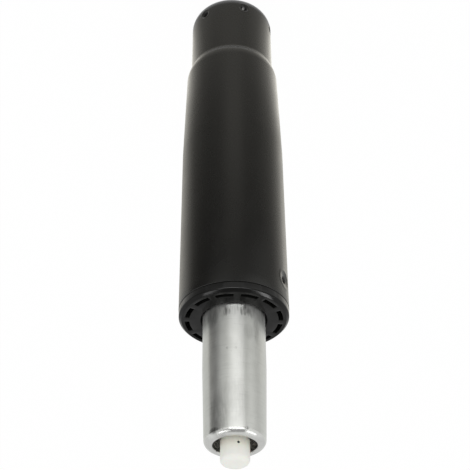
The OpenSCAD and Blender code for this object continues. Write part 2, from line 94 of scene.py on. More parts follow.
# The punch has bared the metal in one of them, on the side of the hole that faces up; its lighter grey is
# also a painted glint there
WORN_GLINT_DROP = 0.0008
WORN_GLINT_STAKE = dict(STAKES, turn=251.5, count=1, z=STAKES["z"] - WORN_GLINT_DROP)
WORN_GLINT_R = 0.001
WORN_GLINT_SPREAD = 1.4
CRIMP_DROP = 0.0106
CRIMPS = {
    "turn": 23, "count": 2, "z": COLUMN_TOP - CRIMP_DROP, "r": COLUMN_R,
    "mouth_r": 0.002, "floor_r": 0.0007, "depth": 0.001, "dish_r": 0.0048, "dish_depth": 0.0008,
    "lip_r": 0.0045, "lip_w": 0.0007, "lip_h": 0.00014, "row": 0.0003,
}
DENT_MARGIN = 0.0008
# Factors that make a hole's shade full before its floor is reached: dull paint in the column's holes, painted
# shade in the button's pinhole
HOLE_SPREAD = 1.6
PINHOLE_SPREAD = 3

# Guide bush
BUSH_R = COLUMN_IR - FIT_GAP
BUSH_BORE_R = TUBE_R + FIT_GAP
BUSH_MOUTH_GAP = 0.0008
BUSH_MOUTH_R = TUBE_R + BUSH_MOUTH_GAP
BUSH_MOUTH_DEPTH = 0.004
BUSH_LIP_R = 0.0008
FLANGE_CHAMFER = 0.0013
FLANGE_WALL_EDGE_R = 0.001
FLANGE_FACE_EDGE_R = 0.0003
FLANGE_FOOT_R = 0.00025
JOINT_GAP = 0.0002
JOINT_DEPTH = 0.0008
BUSH_LAND_LEN = 0.012
BUSH_HEAD_LEN = 0.022
BUSH_WAIST_WALL = 0.003
BUSH_WAIST_R = BUSH_MOUTH_R + BUSH_WAIST_WALL
SLOT_COUNT = 12
SLOT_TURN = math.radians(10.9)
SLOT_SPAN = math.radians(21.5)
SLOT_W = 0.0021
SLOT_INSET = 0.0038
SLOT_R = FLANGE_R - SLOT_INSET
SLOT_DEPTH = 0.007
# Distance inside a slot's edge, and the share of the slot's depth that is reached there
SLOT_WALL = ((-0.00022, 0), (0, 0.01), (0.00008, 0.06), (0.0002, 1))

# Gas spring tube
TUBE_WALL = 0.0025
SEAT_TAPER_LEN = 0.036
TUBE_EDGE_R = 0.0027
TUBE_END_R = TUBE_R - (SEAT_TAPER_LEN - TUBE_EDGE_R) * math.tan(TAPER_ANGLE)
MOUTH_LIP_R = 0.0008
MOUTH_FLAT = 0.00036
MOUTH_R = TUBE_END_R - TUBE_EDGE_R - MOUTH_FLAT - MOUTH_LIP_R
TAIL_MOUTH_R = 0.008
TUBE_TURNS = 256

# Release button
BUTTON_EDGE_R = 0.0022
BUTTON_FOOT_R = 0.0005
BUTTON_STEP = math.radians(3)
PINHOLE_RISE = 0.0007
PINHOLE = {
    "turn": 256, "count": 1, "z": TUBE_TOP + PINHOLE_RISE, "r": BUTTON_R,
    "mouth_r": 0.0006, "floor_r": 0.0004, "depth": 0.001, "dish_r": 0.0007, "dish_depth": 0.0,
    "lip_r": 0.0007, "lip_w": 0.0002, "lip_h": 0.0, "row": 0.0001,
}

# Camera, from the photograph: it looks down on the button end, with the picture turned upside down
CAMERA_TILT = math.radians(36.76)
CAMERA_LEAN = math.radians(0.43)
CAMERA_DISTANCE = 0.50617
CAMERA_SHIFT = -0.00082
AIM_Z = 0.14757
FOCAL_PIXELS = 1063.16
PICTURE_PIXELS = 470
SENSOR_W = 36

ARC_STEPS = 8
WELD = 1e-7
SHARP_ANGLE = math.radians(32)
RIGHT, SLANT, UP, LEFT, DOWN = 0, math.pi / 4, math.pi / 2, math.pi, -math.pi / 2


# Outlines

def arc(centre, r, start, end, steps=ARC_STEPS):
    """Points of an arc about a centre, between two angles in radians."""
    turns = [start + (end - start) * i / steps for i in range(steps + 1)]
    return [(centre[0] + r * math.cos(a), centre[1] + r * math.sin(a)) for a in turns]


def line(start, end, steps):
    """Points from start to end, both included."""
    return [tuple(a + (b - a) * i / steps for a, b in zip(start, end)) for i in range(steps + 1)]


def smooth(share):
    """Eases a share that is cut off at 0 and 1."""
    share = min(max(share, 0), 1)
    return share * share * (3 - 2 * share)


# Meshes

def finish_mesh(name, verts, faces):
    """A smooth mesh object with its sharp edges marked."""
    mesh = bpy.data.meshes.new(name)
    mesh.from_pydata(verts, [], faces)
    build = bmesh.new()
    build.from_mesh(mesh)
    bmesh.ops.remove_doubles(build, verts=build.verts, dist=WELD)
    bmesh.ops.recalc_face_normals(build, faces=build.faces)
    build.to_mesh(mesh)
    build.free()
    mesh.shade_smooth()
    mesh.set_sharp_from_angle(angle=SHARP_ANGLE)
    made = bpy.data.objects.new(name, mesh)
    bpy.context.scene.collection.objects.link(made)
    return made


def turned(name, outline, turns, place=None, closed=True):
    """Turns an outline of (radius, height) points about Z. place may move the point of a row at a turn."""
    verts = []
    for row, (r, z) in enumerate(outline):
        for turn in turns:
            at_r, at_z = place(row, turn, r, z) if place else (r, z)
            verts.append((at_r * math.cos(turn), at_r * math.sin(turn), at_z))
    across = len(turns)
    rows = len(outline) if closed else len(outline) - 1
    faces = []
    for row in range(rows):
        low = row * across
        high = (row + 1) % len(outline) * across
        for i in range(across):
            j = (i + 1) % across
            faces.append((low + i, low + j, high + j, high + i))
    return finish_mesh(name, verts, faces)


def even_turns(count):
    return [2 * math.pi * i / count for i in range(count)]


# Column

def dent_reach(dents):
    return dents["dish_r"] + DENT_MARGIN


def dent_side(dents, turn):
    """Angle from the nearest dent of a ring."""
    pitch = 2 * math.pi / dents["count"]
    return (turn - math.radians(dents["turn"]) + pitch / 2) % pitch - pitch / 2


def dent_away(dents, turn, z):
    """Distance along the wall from the nearest dent's middle."""
    return math.hypot(z - dents["z"], dent_side(dents, turn) * dents["r"])


def hole_share(dents, turn, z):
    """How far down a dent's punched hole a point of the wall lies: 0 at the mouth and 1 on the floor."""
    return smooth((dents["mouth_r"] - dent_away(dents, turn, z)) / (dents["mouth_r"] - dents["floor_r"]))


def dent_depth(dents, turn, z):
    """How far a ring of dents presses a wall in, at a turn and a height; below 0 on the lip round a dent."""
    away = dent_away(dents, turn, z)
    if away >= dent_reach(dents):
        return 0
    hole = dents["depth"] * hole_share(dents, turn, z)
    dish = dents["dish_depth"] * smooth(1 - away / dents["dish_r"])
    lip = dents["lip_h"] * math.exp(-(((away - dents["lip_r"]) / dents["lip_w"]) ** 2))
    return hole + dish - lip


def dent_rows(dents, wall_r):
    """Close rows across a ring of dents; wall_r gives the wall's radius at a height."""
    reach = dent_reach(dents)
    steps = round(2 * reach / dents["row"])
    heights = [dents["z"] + reach * (2 * i / steps - 1) for i in range(steps + 1)]
    return [(wall_r(z), z) for z in heights]


def neck_r(z):
    """The neck's radius at a height, with the rolled end at its foot."""
    return NECK_R - ROLL_R + math.sqrt(ROLL_R ** 2 - max(ROLL_R - z, 0) ** 2)


def straight_r(z):
    """The radius of the column's straight stretch."""
    return COLUMN_R


def dented_turns(widest, rings):
    """Directions of a dented mesh: the widest step apart, but close together across the dents."""
    turns = []
    turn = 0.0
    while turn < 2 * math.pi - widest / 4:
        turns.append(turn)
        step = widest
        for dents in rings:
            if abs(dent_side(dents, turn)) < dent_reach(dents) / dents["r"] + widest:
                step = min(step, dents["row"] / dents["r"])
        turn += step
    return turns


def shoulder_arcs():
    """Centres of the shoulder's arc and of the neck's fillet, and the angle at which the two meet."""
    shoulder_c = (
        TAPER_END_R - SHOULDER_R * math.cos(TAPER_ANGLE),
        SHOULDER_Z + SHOULDER_R * math.sin(TAPER_ANGLE),
    )
    fillet_x = NECK_R + NECK_FILLET_R
    drop = math.sqrt((SHOULDER_R + NECK_FILLET_R) ** 2 - (fillet_x - shoulder_c[0]) ** 2)
    return shoulder_c, (fillet_x, shoulder_c[1] - drop), math.atan2(-drop, fillet_x - shoulder_c[0])


def column_outside():
    """Outline of the column's outside, from the rim at the bottom to the top edge."""
    roll_c = (NECK_R - ROLL_R, ROLL_R)
    shoulder_c, fillet_c, turn = shoulder_arcs()
    edge_c = (COLUMN_R - COLUMN_EDGE_R, COLUMN_TOP - COLUMN_EDGE_R)
    lip_c = (roll_c[0] - RIM_W + RIM_EDGE_R, RIM_EDGE_R)
    roll_end = math.asin((STAKES["z"] - dent_reach(STAKES) - ROLL_R) / ROLL_R)
    return (
        arc(lip_c, RIM_EDGE_R, LEFT, LEFT + UP)
        + arc(roll_c, ROLL_R, DOWN, roll_end, 3 * ARC_STEPS)
        + dent_rows(STAKES, neck_r)
        + arc(fillet_c, NECK_FILLET_R, LEFT, LEFT + turn, 2 * ARC_STEPS)
        + arc(shoulder_c, SHOULDER_R, turn, -TAPER_ANGLE, 3 * ARC_STEPS)
        + line((TAPER_END_R, SHOULDER_Z), (COLUMN_R, TAPER_TOP), ARC_STEPS)
        + dent_rows(CRIMPS, straight_r)
        + arc(edge_c, COLUMN_EDGE_R, RIGHT, UP)
    )


def column_inside():
    """Outline of the column's inside, from the top edge down to the rim."""
    foot_r = NECK_R - ROLL_R - RIM_W
    lip_c = (foot_r + RIM_EDGE_R, COLUMN_WALL - RIM_EDGE_R)
    shoulder_c, fillet_c, turn = shoulder_arcs()
    return (
        [(COLUMN_IR, COLUMN_TOP), (COLUMN_IR, TAPER_TOP)]
        + arc(shoulder_c, SHOULDER_R - COLUMN_WALL, -TAPER_ANGLE, turn)
        + arc(fillet_c, NECK_FILLET_R + COLUMN_WALL, LEFT + turn, LEFT)
        + arc((NECK_R - ROLL_R, ROLL_R), ROLL_R - COLUMN_WALL, RIGHT, DOWN)
        + arc(lip_c, RIM_EDGE_R, UP, LEFT)
    )


def note_share(made, name, share_at):
    """Notes a share from 0 to 1 on the mesh, by the turn and height of each point."""
    noted = made.data.attributes.new(name, "FLOAT", "POINT")
    for at, vert in enumerate(made.data.vertices):
        noted.data[at].value = share_at(math.atan2(vert.co.y, vert.co.x), vert.co.z)


def stake_wear_and_glint(turn, z):
    """Where the punch has bared the metal, which is painted lighter to stand in for a glint as well."""
    return smooth(WORN_GLINT_SPREAD * (1 - dent_away(WORN_GLINT_STAKE, turn, z) / WORN_GLINT_R))


def hole_shade(turn, z):
    """Where a hole is deep enough to be dull and dark."""
    return smooth(HOLE_SPREAD * max(hole_share(STAKES, turn, z), hole_share(CRIMPS, turn, z)))


def make_column():
    outside = column_outside()

    def place(row, turn, r, z):
        if row >= len(outside):
            return r, z
        return r - dent_depth(STAKES, turn, z) - dent_depth(CRIMPS, turn, z), z

    turns = dented_turns(COLUMN_STEP, (STAKES, CRIMPS))
    made = turned("column_shell", outside + column_inside(), turns, place)
    note_share(made, "wear_and_glint", stake_wear_and_glint)
    note_share(made, "shade", hole_shade)
    return dress(made, "column", "column_tube", "black_paint")


# Guide bush

def bush_turns():
    """Directions of the bush's mesh, close together at the slots' ends, with the share of the depth there."""
    half = SLOT_SPAN / 2
    pitch = 2 * math.pi / SLOT_COUNT
    ends = [(half - inside / SLOT_R, share) for inside, share in SLOT_WALL]
    floor = [(half * i / 4, 1) for i in range(-3, 4)]
    land = [(half + (pitch / 2 - half) * i / 3, 0) for i in (2, 3)]
    one = [(-a, share) for a, share in ends] + floor + ends[::-1] + land
    one = sorted(one + [(-land[0][0], 0)])
    return [
        ((SLOT_TURN + i * pitch + a) % (2 * math.pi), share)
        for i in range(SLOT_COUNT)
        for a, share in one
    ]


def flange_edge():
    """Outline of the flange from its seat on the column: the joint line, the wall and the chamfer."""
    joint_r = FLANGE_R - JOINT_DEPTH
    foot_c = (FLANGE_R - FLANGE_FOOT_R, COLUMN_TOP + JOINT_GAP + FLANGE_FOOT_R)
    wall_back = FLANGE_WALL_EDGE_R * math.tan(SLANT / 2)
    face_back = FLANGE_FACE_EDGE_R * math.tan(SLANT / 2)
    wall_c = (FLANGE_R - FLANGE_WALL_EDGE_R, FLANGE_TOP - FLANGE_CHAMFER - wall_back)
    face_c = (FLANGE_R - FLANGE_CHAMFER - face_back, FLANGE_TOP - FLANGE_FACE_EDGE_R)
    return (
        [(joint_r, COLUMN_TOP), (joint_r, COLUMN_TOP + JOINT_GAP)]
        + arc(foot_c, FLANGE_FOOT_R, DOWN, RIGHT)
        + arc(wall_c, FLANGE_WALL_EDGE_R, RIGHT, SLANT)
        + arc(face_c, FLANGE_FACE_EDGE_R, SLANT, UP)
    )


def make_bush():
    turns = bush_turns()
    deep_turn = dict(turns)
    slot_out = SLOT_R + SLOT_W / 2
    slot_in = SLOT_R - SLOT_W / 2
    crossing = [(slot_out - inside, share) for inside, share in SLOT_WALL]
    crossing += [(slot_in + inside, share) for inside, share in SLOT_WALL[::-1]]
    head_z = COLUMN_TOP - BUSH_HEAD_LEN
    land_top = BUSH_Z + BUSH_LAND_LEN
    lip_c = (BUSH_MOUTH_R + BUSH_LIP_R, FLANGE_TOP - BUSH_LIP_R)
    mouth_z = FLANGE_TOP - BUSH_MOUTH_DEPTH
    before = (
        [(BUSH_BORE_R, BUSH_Z), (BUSH_R, BUSH_Z), (BUSH_R, land_top), (BUSH_WAIST_R, land_top)]
        + [(BUSH_WAIST_R, head_z), (BUSH_R, head_z), (BUSH_R, COLUMN_TOP)]
        + flange_edge()
    )
    after = (
        arc(lip_c, BUSH_LIP_R, UP, LEFT)
        + [(BUSH_MOUTH_R, mouth_z), (BUSH_BORE_R, mouth_z), (BUSH_BORE_R, head_z), (BUSH_MOUTH_R, head_z)]
        + [(BUSH_MOUTH_R, land_top), (BUSH_BORE_R, land_top)]
    )
    face = [(r, FLANGE_TOP) for r, share in crossing]

    def place(row, turn, r, z):
        at = row - len(before)
        if not 0 <= at < len(face):
            return r, z
        return r, z - SLOT_DEPTH * min(crossing[at][1], deep_turn[turn])

    made = turned("bush_moulding", before + face + after, [turn for turn, share in turns], place)
    return dress(made, "column", "guide_bush", "black_plastic")


# Gas spring tube and release button

def make_tube():
    tail_c = (TUBE_R - TUBE_EDGE_R, TUBE_Z + TUBE_EDGE_R)
    end_c = (TUBE_END_R - TUBE_EDGE_R, TUBE_TOP - TUBE_EDGE_R)
    lip_c = (MOUTH_R + MOUTH_LIP_R, TUBE_TOP - MOUTH_LIP_R)
    taper_z = TUBE_TOP - SEAT_TAPER_LEN
    tube_ir = TUBE_R - TUBE_WALL
    outline = (
        [(TAIL_MOUTH_R, TUBE_Z)]
        + arc(tail_c, TUBE_EDGE_R, DOWN, RIGHT)
        + line((TUBE_R, TUBE_Z + 2 * TUBE_EDGE_R), (TUBE_R, taper_z), ARC_STEPS)
        + arc(end_c, TUBE_EDGE_R, TAPER_ANGLE, UP, 3 * ARC_STEPS)
        + arc(lip_c, MOUTH_LIP_R, UP, LEFT)
        + [(MOUTH_R, CAP_TOP), (tube_ir, CAP_TOP), (tube_ir, GUIDE_Z), (TAIL_MOUTH_R, GUIDE_Z)]
    )
    made = turned("tube_shell", outline, even_turns(TUBE_TURNS))
    return dress(made, "spindle", "pressure_tube", "ground_steel")


def button_r(z):
    """The radius of the button's straight wall."""
    return BUTTON_R


def painted_pinhole_shade(turn, z):
    """Where the pinhole is deep enough for its painted shade to be dark."""
    return smooth(PINHOLE_SPREAD * hole_share(PINHOLE, turn, z))


def make_button():
    bore_r = PIN_R + FIT_GAP
    bore_top = PIN_TOP + FIT_GAP
    foot_c = (BUTTON_R - BUTTON_FOOT_R, BUTTON_Z + BUTTON_FOOT_R)
    edge_c = (BUTTON_R - BUTTON_EDGE_R, BUTTON_TOP - BUTTON_EDGE_R)
    inside = [(0, bore_top), (bore_r, bore_top), (bore_r, BUTTON_Z)]
    outline = (
        inside
        + arc(foot_c, BUTTON_FOOT_R, DOWN, RIGHT)
        + dent_rows(PINHOLE, button_r)
        + arc(edge_c, BUTTON_EDGE_R, RIGHT, UP, 2 * ARC_STEPS)
        + [(0, BUTTON_TOP)]
    )

    def place(row, turn, r, z):
        if row < len(inside):
            return r, z
        return r - min(dent_depth(PINHOLE, turn, z), r), z

    made = turned("button_cap", outline, dented_turns(BUTTON_STEP, (PINHOLE,)), place, closed=False)
    note_share(made, "shade", painted_pinhole_shade)
    return dress(made, "release", "release_button", "white_nylon")


def dress(made, body, node_name, slot):
    """Sets a finished piece in place of its node and gives it its finish."""
    made.data.materials.append(MATERIALS[slot])
    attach(made, body)
    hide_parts(node_name)
    return made


# Shader helpers

def add(tree, kind, **settings):
    """A new shader node with its settings."""
    made = tree.nodes.new("ShaderNode" + kind)
    for key, value in settings.items():
        setattr(made, key, value)
    return made


def feed(tree, socket, source):
    """Links a socket to another, or sets its value."""
    if isinstance(source, bpy.types.NodeSocket):
        tree.links.new(source, socket)
    else:
        socket.default_value = source


def calc(tree, operation, *sources):
    """The result of a sum or other operation on sockets and numbers."""
    made = add(tree, "Math", operation=operation)
    for socket, source in zip(made.inputs, sources):
        feed(tree, socket, source)
    return made.outputs["Value"]


def remap(tree, source, low, high, to_low=0.0, to_high=1.0):
    """Maps a value from one range to another, eased and cut off at the ends."""
    made = add(tree, "MapRange", interpolation_type="SMOOTHSTEP")
    for socket, value in zip(made.inputs, (source, low, high, to_low, to_high)):
        feed(tree, socket, value)
    return made.outputs["Result"]


def blend(tree, share, first, second):
    """A value between two others."""
    made = add(tree, "Mix", data_type="FLOAT")
    feed(tree, made.inputs[0], share)
    feed(tree, made.inputs[2], first)
    feed(tree, made.inputs[3], second)
    return made.outputs[0]


def place_of(tree):
    """The x, y and z of a point of the piece, in metres."""
    split = add(tree, "SeparateXYZ")
    tree.links.new(add(tree, "TexCoord").outputs["Object"], split.inputs["Vector"])
    return split.outputs


def turn_of(tree):
    """The direction of a point round the axis, in radians: 0 on the near side, above 0 to the right."""
    at = place_of(tree)
    return calc(tree, "ARCTAN2", calc(tree, "MULTIPLY", at["X"], -1.0), calc(tree, "MULTIPLY", at["Y"], -1.0))


def radius_of(tree):
    """The distance of a point from the axis."""
    at = place_of(tree)
    squares = calc(tree, "ADD", calc(tree, "POWER", at["X"], 2.0), calc(tree, "POWER", at["Y"], 2.0))
    return calc(tree, "SQRT", squares)


def noise(tree, per_metre, detail=3.0, roughness=0.55, shift=0.0):
    """Noise from 0 to 1, with its number of features per metre along x, y and z."""
    mapping = add(tree, "Mapping")
    mapping.inputs["Location"].default_value = (shift, shift, shift)
    mapping.inputs["Scale"].default_value = per_metre
    tree.links.new(add(tree, "TexCoord").outputs["Object"], mapping.inputs["Vector"])
    made = add(tree, "TexNoise")
    tree.links.new(mapping.outputs["Vector"], made.inputs["Vector"])
    made.inputs["Scale"].default_value = 1.0
    made.inputs["Detail"].default_value = detail
    made.inputs["Roughness"].default_value = roughness
    return made.outputs["Fac"]


def wall_noise(tree, round_per_metre, along_per_metre, detail=3.0, shift=0.0):
    """Noise from 0 to 1 on the tube's wall, with its features per metre round and along the wall."""
    spot = add(tree, "CombineXYZ")
    feed(tree, spot.inputs["X"], calc(tree, "MULTIPLY", turn_of(tree), TUBE_R * round_per_metre))
    feed(tree, spot.inputs["Y"], calc(tree, "MULTIPLY", place_of(tree)["Z"], along_per_metre))
    spot.inputs["Z"].default_value = shift
    made = add(tree, "TexNoise")
    tree.links.new(spot.outputs["Vector"], made.inputs["Vector"])
    made.inputs["Scale"].default_value = 1.0
    made.inputs["Detail"].default_value = detail
    return made.outputs["Fac"]


def mix_colour(tree, share, first, second):
    """A colour between two others."""
    made = add(tree, "Mix", data_type="RGBA")
    feed(tree, made.inputs["Factor"], share)
    feed(tree, made.inputs[6], first)
    feed(tree, made.inputs[7], second)
    return made.outputs[2]


def rgb(r, g, b):
    return (r, g, b, 1.0)


def bump(tree, shader, height, depth, strength=1.0):
    """Gives a shader a relief of a depth in metres."""
    made = add(tree, "Bump")
    made.inputs["Strength"].default_value = strength
    made.inputs["Distance"].default_value = depth
    tree.links.new(height, made.inputs["Height"])
    tree.links.new(made.outputs["Normal"], shader.inputs["Normal"])


def new_material(name, **fixed):
    """A material with its tree and shader; fixed gives the shader's constant values."""
    made = bpy.data.materials.new(name)
    made.use_nodes = True
    shader = made.node_tree.nodes["Principled BSDF"]
    for key, value in fixed.items():
        shader.inputs[key.replace("_", " ")].default_value = value
    return made, made.node_tree, shader


# Materials

def black_paint():
    """Satin black powder coat with a fine orange peel, dull in the holes and bared in one of them, where the
    bared grey is partly a painted glint.
    """
    made, tree, shader = new_material("black_paint", Specular_IOR_Level=0.5)
    worn_and_glint = add(tree, "Attribute", attribute_name="wear_and_glint").outputs["Fac"]
    shade = add(tree, "Attribute", attribute_name="shade").outputs["Fac"]
    mottle = noise(tree, (90, 90, 60), detail=4)
    coat = mix_colour(tree, mottle, rgb(0.0042, 0.0040, 0.0035), rgb(0.0062, 0.0060, 0.0053))
    # The bared metal's light grey doubles as a painted glint in that hole
    feed(tree, shader.inputs["Base Color"], mix_colour(tree, worn_and_glint, coat, rgb(0.36, 0.355, 0.345)))
    feed(tree, shader.inputs["Metallic"], calc(tree, "MULTIPLY", worn_and_glint, 0.4))
    satin = remap(tree, mottle, 0.25, 0.75, 0.24, 0.3)
    dull = calc(tree, "MULTIPLY", calc(tree, "SUBTRACT", shade, worn_and_glint), 0.6)
    feed(tree, shader.inputs["Roughness"], calc(tree, "ADD", satin, dull))
    bump(tree, shader, noise(tree, (1500, 1500, 1500), detail=2), 0.000003)
    return made


def black_plastic():
    """Moulded black acetal, slightly glossy, with a fine grain."""
    made, tree, shader = new_material("black_plastic", Specular_IOR_Level=0.14)
    grain = noise(tree, (1200, 1200, 1200), detail=3)
    cloud = noise(tree, (160, 160, 160), detail=3, shift=3.0)
    tone = mix_colour(tree, cloud, rgb(0.0042, 0.0042, 0.0039), rgb(0.007, 0.007, 0.0065))
    feed(tree, shader.inputs["Base Color"], tone)
    feed(tree, shader.inputs["Roughness"], remap(tree, cloud, 0.3, 0.7, 0.11, 0.16))
    bump(tree, shader, grain, 0.000008)
    return made


# Dark patches on the tube, partly smudges and mostly painted dark reflections of the bush and of dark
# surroundings: direction in degrees, height over the flange, half width, half height, depth of tone
SMUDGES_AND_DARK_REFLECTIONS = (
    (-15, 0.0035, 0.0013, 0.003, 0.8), (-8, 0.0036, 0.0007, 0.0018, 0.5), (14, 0.0032, 0.0008, 0.0032, 0.6),
    (20, 0.0026, 0.0012, 0.0036, 0.7), (27, 0.0028, 0.001, 0.0034, 0.55), (34, 0.003, 0.0014, 0.004, 0.45),
    (-42, 0.0035, 0.0045, 0.008, 0.55), (27, 0.013, 0.003, 0.005, 0.2), (44, 0.011, 0.002, 0.008, 0.25),
    (-12, 0.022, 0.0009, 0.0009, 0.3), (3, 0.022, 0.0006, 0.0009, 0.3), (-30, 0.052, 0.006, 0.014, 0.4),
    (-41, 0.0587, 0.0036, 0.0018, 0.9), (22, 0.0588, 0.0014, 0.0009, 0.7), (-6, 0.047, 0.009, 0.014, 0.2),
)
# Half width from which a dark patch is a wide one, whose streaks leave fewer gaps
WIDE_DARK_PATCH = 0.0025
# Oily streaks on the tube, which also paint the bush's dark reflection just over it: how far they reach over
# the flange and into the bush, and their depth of tone
SMEAR_SHADE_RISE = 0.009
SMEAR_SHADE_SINK = 0.004
SMEAR_SHADE_DEPTH = 0.36
# Film of oil in the tube's mouth, darkened also as painted shade of the recess: distances from its wall at
# which it starts and ends to thin out
FILM_SHADE_EDGE = (0.0001, 0.0005)
# Stretch over which the rolled end turns smoother than the ground wall, in shares of its radius below the top
ROLLED_SPAN = (1.2, 0.7)


def smudge_and_reflection_patch(tree, turn, rise, half_w, half_h, depth):
    """A soft round dark patch on the tube, partly smudge and partly painted dark reflection, from depth at
    its middle to 0 at its edge.
    """
    side = calc(tree, "SUBTRACT", turn_of(tree), math.radians(turn))
    across = calc(tree, "MULTIPLY", side, TUBE_R / half_w)
    along = calc(tree, "DIVIDE", calc(tree, "SUBTRACT", place_of(tree)["Z"], FLANGE_TOP + rise), half_h)
    away = calc(tree, "ADD", calc(tree, "POWER", across, 2.0), calc(tree, "POWER", along, 2.0))
    return remap(tree, away, 0.1, 1.0, depth, 0.0)


def ground_steel():
    """Bright ground steel with grinding marks, mottle, smudges and painted dark reflections over the bush,
    and a mouth darkened by oil and painted shade.
    """
    made, tree, shader = new_material(
        "ground_steel", Metallic=1.0, Anisotropic=0.93, Anisotropic_Rotation=0.25
    )
    tangent = add(tree, "Tangent", direction_type="RADIAL", axis="Z")
    tree.links.new(tangent.outputs["Tangent"], shader.inputs["Tangent"])
    mottle = wall_noise(tree, 260, 200, detail=5)
    grinding = wall_noise(tree, 120, 1100, detail=3, shift=4.0)
    streaks = wall_noise(tree, 1100, 220, detail=4, shift=8.0)
    specks = wall_noise(tree, 1300, 1300, detail=2, shift=12.0)
    height = place_of(tree)["Z"]
    # Painted dark reflection of the bush, broken into oily streaks just over the flange
    above = remap(tree, height, FLANGE_TOP, FLANGE_TOP + SMEAR_SHADE_RISE, SMEAR_SHADE_DEPTH, 0.0)
    below = remap(tree, height, FLANGE_TOP - SMEAR_SHADE_SINK, FLANGE_TOP)
    near_bush = calc(tree, "MULTIPLY", above, below)
    smear_and_shade = calc(tree, "MULTIPLY", near_bush, remap(tree, streaks, 0.42, 0.68))
    # Dark patches: partly smudges, mostly painted dark reflections
    for turn, rise, half_w, half_h, depth in SMUDGES_AND_DARK_REFLECTIONS:
        evenness = 0.6 if half_w > WIDE_DARK_PATCH else 0.25
        streaky = remap(tree, streaks, 0.35, 0.6, evenness, 1.0)
        broken = calc(tree, "MULTIPLY", smudge_and_reflection_patch(tree, turn, rise, half_w, half_h, depth), streaky)
        smear_and_shade = calc(tree, "MAXIMUM", smear_and_shade, broken)
    patches = remap(tree, mottle, 0.45, 0.65, 0.0, 0.3)
    pitted = calc(tree, "MULTIPLY", remap(tree, specks, 0.62, 0.74), patches)
    smear_and_shade = calc(tree, "MAXIMUM", smear_and_shade, pitted)
    metal = mix_colour(tree, mottle, rgb(0.56, 0.565, 0.545), rgb(0.68, 0.685, 0.665))
    metal = mix_colour(tree, remap(tree, grinding, 0.5, 0.75, 0.0, 0.22), metal, rgb(0.4, 0.4, 0.385))
    metal = mix_colour(tree, smear_and_shade, metal, rgb(0.14, 0.14, 0.135))
    # Oil film in the mouth, darkened as painted shade of the recess
    film_shade_start, film_shade_end = (MOUTH_R + away for away in FILM_SHADE_EDGE)
    oily_shaded = remap(tree, radius_of(tree), film_shade_start, film_shade_end, 1.0, 0.0)
    film_and_shade = mix_colour(tree, remap(tree, specks, 0.4, 0.6), rgb(0.2, 0.2, 0.19), rgb(0.7, 0.7, 0.67))
    feed(tree, shader.inputs["Base Color"], mix_colour(tree, oily_shaded, metal, film_and_shade))
    roll_start, roll_end = (TUBE_TOP - share * TUBE_EDGE_R for share in ROLLED_SPAN)
    rolled = remap(tree, height, roll_start, roll_end, 0.0, 0.12)
    ground = remap(tree, mottle, 0.25, 0.75, 0.3, 0.34)
    feed(tree, shader.inputs["Roughness"], calc(tree, "SUBTRACT", ground, rolled))
    bump(tree, shader, grinding, 0.000002, 0.5)
    return made


# On the button: its warm part, which is also painted lighter against the recess's shade, thins out from a
# height below the tube's rim to one below its own top, and the painted shade of the recess lies between two
# heights below the rim
WARM_LIGHT_SPAN = (0.001, 0.002)
RECESS_SHADE_SPAN = (0.0028, 0.002)


def white_nylon():
    """Natural nylon with a soft sheen, warmer and painted lighter towards its foot, with painted shade down
    in the recess and in the pinhole.
    """
    made, tree, shader = new_material(
        "white_nylon", Subsurface_Weight=0.08, Subsurface_Scale=0.001, Specular_IOR_Level=0.4
    )
    cloud = noise(tree, (350, 350, 350), detail=3)
    tone = mix_colour(tree, cloud, rgb(0.79, 0.79, 0.735), rgb(0.83, 0.83, 0.785))
    height = place_of(tree)["Z"]
    # Warmer tone, painted lighter too where the recess shades the button
    warm_painted_light = remap(tree, height, TUBE_TOP - WARM_LIGHT_SPAN[0], BUTTON_TOP - WARM_LIGHT_SPAN[1], 1.0, 0.0)
    tone = mix_colour(tree, warm_painted_light, tone, rgb(0.9, 0.885, 0.775))
    # Painted shade of the recess: a dark band just under the tube's rim
    painted_recess_shade = remap(tree, height, TUBE_TOP - RECESS_SHADE_SPAN[0], TUBE_TOP - RECESS_SHADE_SPAN[1], 0.95, 0.0)
    tone = mix_colour(tree, painted_recess_shade, tone, rgb(0.14, 0.135, 0.12))
    shade = add(tree, "Attribute", attribute_name="shade").outputs["Fac"]
    # The pinhole is painted near black as its shade
    feed(tree, shader.inputs["Base Color"], mix_colour(tree, shade, tone, rgb(0.02, 0.02, 0.018)))
    feed(tree, shader.inputs["Roughness"], remap(tree, cloud, 0.3, 0.7, 0.36, 0.48))
    bump(tree, shader, noise(tree, (1800, 1800, 1800), detail=2), 0.00001)
    return made


def turned_metal(name, dark, light, rough_low, rough_high, clouds=300):
    """Metal with fine turning marks round its axis."""
    made, tree, shader = new_material(name, Metallic=1.0)
    marks = noise(tree, (200, 200, 6000), detail=2)
    cloud = remap(tree, noise(tree, (clouds, clouds, clouds), detail=4, shift=2.0), 0.3, 0.7)
    feed(tree, shader.inputs["Base Color"], mix_colour(tree, cloud, dark, light))
    feed(tree, shader.inputs["Roughness"], remap(tree, marks, 0.3, 0.7, rough_low, rough_high))
    bump(tree, shader, marks, 0.000008, 0.7)
    return made


def soft_polymer(name, dark, light, rough_low, rough_high):
    """Rubber or plastic with a fine even grain."""
    made, tree, shader = new_material(name, Specular_IOR_Level=0.4)
    cloud = noise(tree, (400, 400, 400), detail=4)
    feed(tree, shader.inputs["Base Color"], mix_colour(tree, cloud, dark, light))
    feed(tree, shader.inputs["Roughness"], remap(tree, cloud, 0.3, 0.7, rough_low, rough_high))
    bump(tree, shader, noise(tree, (2200, 2200, 2200), detail=2, shift=4.0), 0.00002)
    return made


